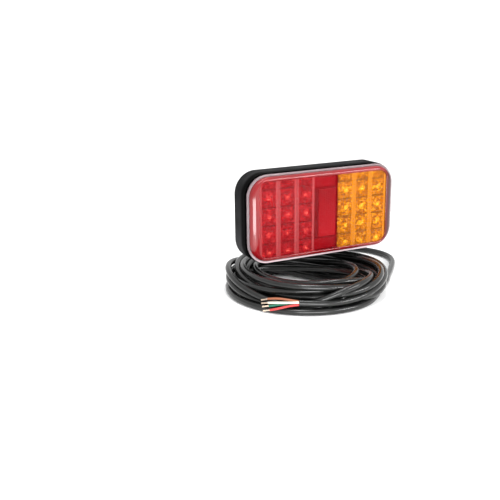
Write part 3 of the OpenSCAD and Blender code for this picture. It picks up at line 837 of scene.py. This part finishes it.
class TAIL_OT_lens(bpy.types.Operator):
    """Red border, clear front and moulded optics of the two-colour lens"""

    bl_idname = "tail_light.lens"
    bl_label = "Lens"

    def execute(self, context):
        lens, _, finish, _ = settings()
        red, amber = tuple(finish.red), tuple(finish.amber)
        foot = np.array([lens.foot_inset, lens.foot_inset])
        top = np.array([lens.inset_side, lens.inset_top])
        turn = np.linspace(0, np.pi / 2, 14)
        rows = []
        for a in turn:
            inset = foot + (top - foot) * (1 - np.cos(a))
            depth = -RIM_LOW[1] + (RIM_LOW[1] - LENS_LOW[1]) * np.sin(a)
            radius = lens.outer_corner - lens.foot_inset + (lens.corner - lens.outer_corner + lens.foot_inset) * (
                1 - math.cos(a))
            rows.append((*inset, depth, radius))
        front, seat = -LENS_LOW[1], -RIM_HIGH[1] + 0.1 * MM
        lip, lip_depth, wall = 0.8 * MM, 2.2 * MM, 1.6 * MM
        rows += [(*(top + lip), front, lens.corner - lip),
                 (*(top + lip), front - lip_depth, lens.corner - lip),
                 (*(foot + wall), seat, lens.outer_corner - lens.foot_inset - wall),
                 (*foot, seat, lens.outer_corner - lens.foot_inset)]
        rings = carried(rows)
        s = Shader("lens_border", Roughness=0.1, Specular_IOR_Level=0.35, Coat_Weight=0.3, Coat_Roughness=0.05)
        swirl = s.noise(14 * MM, 2.0)
        across = s.along("X")
        shade = s.mix(s.ramp(swirl, 0.3, 0.7), scaled(red, 0.48), scaled(red, 0.6))
        # Painted shade: past x = 62 mm, on the lamp's right, the border is painted almost black red.
        border = s.feed(Base_Color=s.mix(s.ramp(across, 62 * MM, 69 * MM), shade, scaled(red, 0.12)),
                        Roughness=0.07 + 0.05 * swirl)
        piece("lens_border", rings.reshape(-1, 3), ring_faces(rings), border)

        split = AMBER_LOW[0]
        left, right = -(HOUSING_HIGH[0] - lens.inset_side) + lip, AMBER_HIGH[0]
        for name, x0, x1, colour, slot_name, nodes in (
                ("red_front", left, split, red, "lens_red", ("lens_red",)),
                ("amber_front", split, right, amber, "lens_amber", ("lens_amber",))):
            points, faces, _, _ = slab(x0, x1, lens, 60, 30, level(front), level(front - 0.5 * MM), lip)
            piece(name, points, faces, clear(name, scaled(colour, 0.9), 0.12), smooth=False,
                  replaces=nodes)

        points, faces, _, _ = slab(REFLEX_LOW[0] - 1.1 * MM, split + 1.2 * MM, lens, 24, 40,
                                   level(front - 4.0 * MM), level(front - 4.6 * MM), 0.9 * MM)
        field = clear("reflex_field", scaled(red, 0.66), 1.0, 0.2)
        piece("reflex_field", points, faces, field, smooth=False)

        reds, ambers = lamps("red_leds", 3, 4), lamps("amber_leds", 3, 4)
        step = (reds[0][1] - reds[0][0]) / 2
        wide, thin = lens.land_width, 1.5 * MM
        lands = [(reds[0][0] - step, wide), *((c + step, wide) for c in reds[0][:2]),
                 (REFLEX_LOW[0] - 2 * MM, thin)]
        # Colours: deep and bright red of the optics, then painted glints and painted sparkles round the LEDs, then
        # the lands' red lightened by a painted reflection.
        optics = optic("red_optics", scaled(red, 0.4), scaled(red, 1.0), (0.46, 0.022, 0.024),
                       (0.90, 0.13, 0.09), (0.30, 0.05, 0.053))
        optic_sheet("red_optics", reds, left, REFLEX_LOW[0] - 0.6 * MM, lands, lens, optics)
        step = (ambers[0][1] - ambers[0][0]) / 2
        lands = [*((c + step, wide) for c in ambers[0][:2]), (right - 0.9 * MM, thin)]
        # Colours: deep and bright amber of the optics, then painted glints and painted sparkles round the LEDs,
        # then the lands' amber lightened by a painted reflection.
        optics = optic("amber_optics", (0.17, 0.026, 0.001), (0.50, 0.155, 0.003), (0.78, 0.33, 0.006),
                       (1.0, 0.62, 0.05), (0.45, 0.16, 0.01))
        optic_sheet("amber_optics", ambers, split + 0.2 * MM, right, lands, lens, optics)
        return {"FINISHED"}


class TAIL_OT_rim(bpy.types.Operator):
    """Clear rim round the lens: a flat ring with rounded edges"""

    bl_idname = "tail_light.rim"
    bl_label = "Rim"

    def execute(self, context):
        lens, _, finish, _ = settings()
        out, width = HOUSING_HIGH[0] - RIM_HIGH[0] + 0.4 * MM, 1.9 * MM
        low, high = -RIM_HIGH[1], -RIM_LOW[1]
        soft = 0.5 * MM
        a = np.linspace(0, np.pi / 2, 6)
        section = [(out, low)] + [(out + soft * (1 - math.cos(t)), high - soft * (1 - math.sin(t))) for t in a]
        section += [(out + width - 0.3 * MM, high), (out + width, high - 0.3 * MM), (out + width, low)]
        rings = carried([(w, w, d, lens.outer_corner - w) for w, d in section])
        s = Shader("clear_rim", Roughness=0.12, Specular_IOR_Level=0.3)
        height = s.along("Z")
        # Painted floor light: towards the bottom the rim is painted paler and more opaque.
        painted_floor_light = s.ramp(height, -26 * MM, -37 * MM)
        rim = tuple(finish.rim)
        material = s.feed(Base_Color=s.mix(painted_floor_light, scaled(rim, 0.9), scaled(rim, 2.0)),
                          Alpha=0.5 + 0.4 * painted_floor_light, Roughness=0.1 + 0.06 * s.noise(8 * MM))
        piece("clear_rim", rings.reshape(-1, 3), ring_faces(rings), material,
              replaces=("lens_rim",))
        return {"FINISHED"}


class TAIL_OT_reflex(bpy.types.Operator):
    """Reflex reflector: a smooth plate of shallow prisms in a stepped frame"""

    bl_idname = "tail_light.reflex"
    bl_label = "Reflex reflector"

    def execute(self, context):
        finish = settings()[2]
        red = tuple(finish.red)
        low, high = REFLEX_LOW, REFLEX_HIGH
        columns, rows = 90, 170
        x, z = np.meshgrid(np.linspace(low[0], high[0], columns), np.linspace(low[2], high[2], rows),
                           indexing="ij")
        pitch = 2.2 * MM
        prism = np.abs((x / pitch) % 1 - 0.5) + np.abs(((z / pitch + 0.5 * np.floor(x / pitch)) % 1) - 0.5)
        inside = np.clip((x - low[0] - 3.9 * MM) / (0.5 * MM), 0, 1) * np.clip(
            (high[2] - 1.2 * MM - np.abs(z)) / (0.4 * MM), 0, 1)
        y = low[1] + 1.1 * MM * (1 - inside) + 0.12 * MM * prism * inside
        points = np.vstack([np.stack([x, y, z], -1).reshape(-1, 3),
                            np.stack([x, np.full_like(y, high[1]), z], -1).reshape(-1, 3)])
        s = Shader("reflex_red", Roughness=0.25, Specular_IOR_Level=0.1)
        # Painted shade: the stepped frame round the prisms is painted dark.
        painted_frame_shade = s.attribute("frame")
        height = s.along("Z")
        # Painted light: the plate is painted darker at the top and lighter towards the bottom.
        painted_light_gradient = s.ramp(height + 0.006 * s.noise(12 * MM, 1.0), 22 * MM, -14 * MM)
        red_here = s.mix(painted_light_gradient, scaled(red, 0.5), scaled(red, 0.9))
        material = s.feed(Base_Color=s.mix(painted_frame_shade, red_here, scaled(red, 0.3)))
        piece("reflex_plate", points, sheet_faces(columns, rows), material,
              replaces=("reflex_reflector",),
              attributes={"frame": np.concatenate([1 - inside.ravel(), np.ones(inside.size)])})
        return {"FINISHED"}


class TAIL_OT_studs(bpy.types.Operator):
    """Two mounting studs: anchor head, shank and a rolled thread with a chamfered end"""

    bl_idname = "tail_light.studs"
    bl_label = "Studs"

    def execute(self, context):
        place = STUDS_HIGH[0] - (STUDS_HIGH[2] - STUDS_LOW[2]) / 2
        collar, shank, neck, thread, tip = 2.9 * MM, 2.5 * MM, 2.2 * MM, 2.115 * MM, 1.7 * MM
        thread_from, fade_over, crest = 2.9 * MM, 0.8 * MM, 0.165 * MM
        anchor, sides, pitch = STUDS_HIGH[2], 40, 0.8 * MM
        y = np.concatenate([[STUDS_LOW[1]] * 2, [-5 * MM] * 2, [0, 0, 2.4 * MM, 2.7 * MM],
                            np.arange(thread_from, STUDS_HIGH[1], pitch / 9), [STUDS_HIGH[1]]])
        radius = np.concatenate([[anchor - 0.3 * MM, anchor, anchor, collar], [collar, shank, shank, neck],
                                 np.full(len(y) - 8, thread)])
        radius[-1] = tip
        a = np.linspace(0, 2 * np.pi, sides, endpoint=False)
        turn = (y[:, None] / pitch - a / (2 * np.pi)) % 1
        fade = np.clip((y - thread_from) / fade_over, 0, 1) * np.clip(
            (STUDS_HIGH[1] - 0.5 * MM - y) / fade_over, 0, 1)
        r = radius[:, None] + crest * (1 - 4 * np.abs(turn - 0.5)) * fade[:, None]
        faces = grid_faces(len(y), sides, closed_columns=True).tolist()
        last = (len(y) - 1) * sides
        faces += [list(range(sides))[::-1], [last + k for k in range(sides)]]
        parts = []
        for side in (-place, place):
            points = np.stack([side + r * np.sin(a), y[:, None] + 0 * a, r * np.cos(a)], -1).reshape(-1, 3)
            parts.append((points, faces))
        points, faces = joined(parts)
        piece("threaded_studs", points, faces, plated("stud_zinc", (0.80, 0.78, 0.70), 0.3),
              replaces=("mounting_studs",))
        return {"FINISHED"}


class TAIL_OT_gland(bpy.types.Operator):
    """Rubber gland: a flange inside the housing and a tapering, ribbed sleeve outside"""

    bl_idname = "tail_light.gland"
    bl_label = "Gland"

    def execute(self, context):
        centre = ((GLAND_LOW[0] + GLAND_HIGH[0]) / 2, (GLAND_LOW[2] + GLAND_HIGH[2]) / 2)
        flange, bore, low, high = GLAND_HIGH[0], 2.77 * MM, GLAND_LOW[1], GLAND_HIGH[1]
        t = np.linspace(0, 1, 90)
        y = 0.3 * MM + (high - 0.3 * MM) * t
        rib = np.clip(np.sin(2 * np.pi * 6.5 * t), -0.5, 0.5) * np.clip((1 - t) * 8, 0, 1) * np.clip(t * 10, 0, 1)
        sleeve = (6.4 - 2.7 * t) * MM + 0.5 * MM * rib
        profile = [(bore, low), (flange, low), (flange, -2.6 * MM), (6.2 * MM, -2.5 * MM), (6.2 * MM, 0.0)]
        profile += list(zip(sleeve, y)) + [(bore, high)]
        r, along = np.array(profile).T
        sides = 48
        a = np.linspace(0, 2 * np.pi, sides, endpoint=False)
        points = np.stack([centre[0] + r[:, None] * np.sin(a), along[:, None] + 0 * a,
                           centre[1] + r[:, None] * np.cos(a)], -1).reshape(-1, 3)
        piece("ribbed_gland", points, grid_faces(len(r), sides, True, True),
              rubber("gland_rubber", (0.022, 0.022, 0.023), 0.5), replaces=("cable_gland",))
        return {"FINISHED"}


class TAIL_OT_finishes(bpy.types.Operator):
    """Finishes of the parts carried over as they are"""

    bl_idname = "tail_light.finishes"
    bl_label = "Finishes"

    def execute(self, context):
        finish = settings()[2]
        housing = tuple(finish.housing)
        zinc = plated("zinc_plate", (0.82, 0.81, 0.78), 0.28)
        screws = plated("screw_zinc", (0.80, 0.76, 0.62), 0.32)
        led_body = chip("led_red", (0.85, 0.80, 0.78), 0.3)
        board = moulded("board_laminate", (0.02, 0.13, 0.05), 0.42, 0.5 * MM, 0.01 * MM)
        black = chip("chip_black", (0.02, 0.02, 0.02), 0.45)
        tray = moulded("tray_white", (0.80, 0.79, 0.77), 0.35, 0.5 * MM, 0.01 * MM)
        finishes = {
            "base_housing": self.housing(housing),
            "lens_seal": rubber("seal_rubber", (0.02, 0.02, 0.02), 0.6),
            "red_cell_tray": tray, "amber_cell_tray": tray,
            "red_leds": led_body, "amber_leds": led_body,
            "circuit_board": board, "board_screws": screws, "cord_grip_screws": screws,
            "resistors": chip("resistor", (0.06, 0.06, 0.07), 0.4), "diodes": black, "driver_chips": black,
            "filter_capacitors": plated("can_aluminium", (0.82, 0.83, 0.85), 0.25),
            "solder_terminals": plated("solder", (0.75, 0.75, 0.77), 0.22),
            "cord_grip": moulded("grip_plastic", (0.03, 0.03, 0.032), 0.5),
            "inner_sheath": rubber("inner_sheath", tuple(finish.sheath), 0.34),
            "inner_core_brown": moulded("inner_brown", (0.36, 0.13, 0.06), 0.4),
            "inner_core_white": moulded("inner_white", (0.86, 0.80, 0.68), 0.4),
            "inner_core_green": moulded("inner_green", (0.02, 0.14, 0.09), 0.4),
            "inner_core_red": moulded("inner_red", (0.52, 0.045, 0.04), 0.4),
            **{f"{part}_{side}": zinc
               for part in ("washer", "spring_washer", "nut") for side in ("left", "right")},
        }
        for name, material in finishes.items():
            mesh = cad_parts[name].data
            mesh.materials.clear()
            mesh.materials.append(material)
        return {"FINISHED"}

    @staticmethod
    def housing(colour):
        """Grained plastic, with painted shade along the lip in front that holds the lens and a painted floor
        reflection that lightens it towards the bottom.
        """
        s = Shader("housing_plastic", Roughness=0.55, Specular_IOR_Level=0.01)
        fine, broad = s.noise(0.9 * MM, 3.0), s.noise(22 * MM, 2.0)
        depth = s.along("Y")
        height = s.along("Z")
        # Painted shade: towards the front lip that holds the lens, the housing is painted almost black.
        lip = s.ramp(depth, -11 * MM, -15 * MM)
        tone_and_floor_reflection = s.mix(s.ramp(broad, 0.3, 0.7), colour, scaled(colour, 2.2))
        # Painted floor reflection: the housing is painted lighter towards the bottom.
        tone_and_floor_reflection = s.mix(s.ramp(height + 0.008 * broad, 0.0, -36 * MM), tone_and_floor_reflection, scaled(colour, 5.0))
        return s.feed(Base_Color=s.mix(lip, tone_and_floor_reflection, scaled(colour, 0.1)),
                      Roughness=0.5 + 0.14 * fine, Normal=s.bump(fine, 0.06 * MM))


class TAIL_PT_panel(bpy.types.Panel):
    """Sidebar panel with every operator and setting"""

    bl_idname = "TAIL_PT_panel"
    bl_label = "Trailer tail light"
    bl_space_type = "VIEW_3D"
    bl_region_type = "UI"
    bl_category = "Tail light"

    def draw(self, context):
        for operator in OPERATORS:
            self.layout.operator(operator.bl_idname)
        for group in settings():
            box = self.layout.box()
            for key in group.bl_rna.properties.keys():
                if key not in ("rna_type", "name"):
                    box.prop(group, key)


GROUPS = {"tail_lens": TAIL_PG_lens, "tail_lead": TAIL_PG_lead, "tail_finish": TAIL_PG_finish,
          "tail_stage": TAIL_PG_stage}
OPERATORS = (TAIL_OT_stage, TAIL_OT_lead, TAIL_OT_lens, TAIL_OT_rim, TAIL_OT_reflex, TAIL_OT_studs, TAIL_OT_gland,
             TAIL_OT_finishes)


def register():
    """Registers the classes and puts the settings on the scene."""
    for item in (*GROUPS.values(), *OPERATORS, TAIL_PT_panel):
        bpy.utils.register_class(item)
    for name, group in GROUPS.items():
        setattr(bpy.types.Scene, name, bpy.props.PointerProperty(type=group))


def unregister():
    """Takes the settings and classes away again."""
    for name in GROUPS:
        delattr(bpy.types.Scene, name)
    for item in reversed((*GROUPS.values(), *OPERATORS, TAIL_PT_panel)):
        bpy.utils.unregister_class(item)


def main():
    """Builds every piece in order."""
    register()
    for operator in OPERATORS:
        group, name = operator.bl_idname.split(".")
        if getattr(getattr(bpy.ops, group), name)() != {"FINISHED"}:
            raise RuntimeError(f"{operator.bl_label} could not be built")


if __name__ == "__main__":
    main()
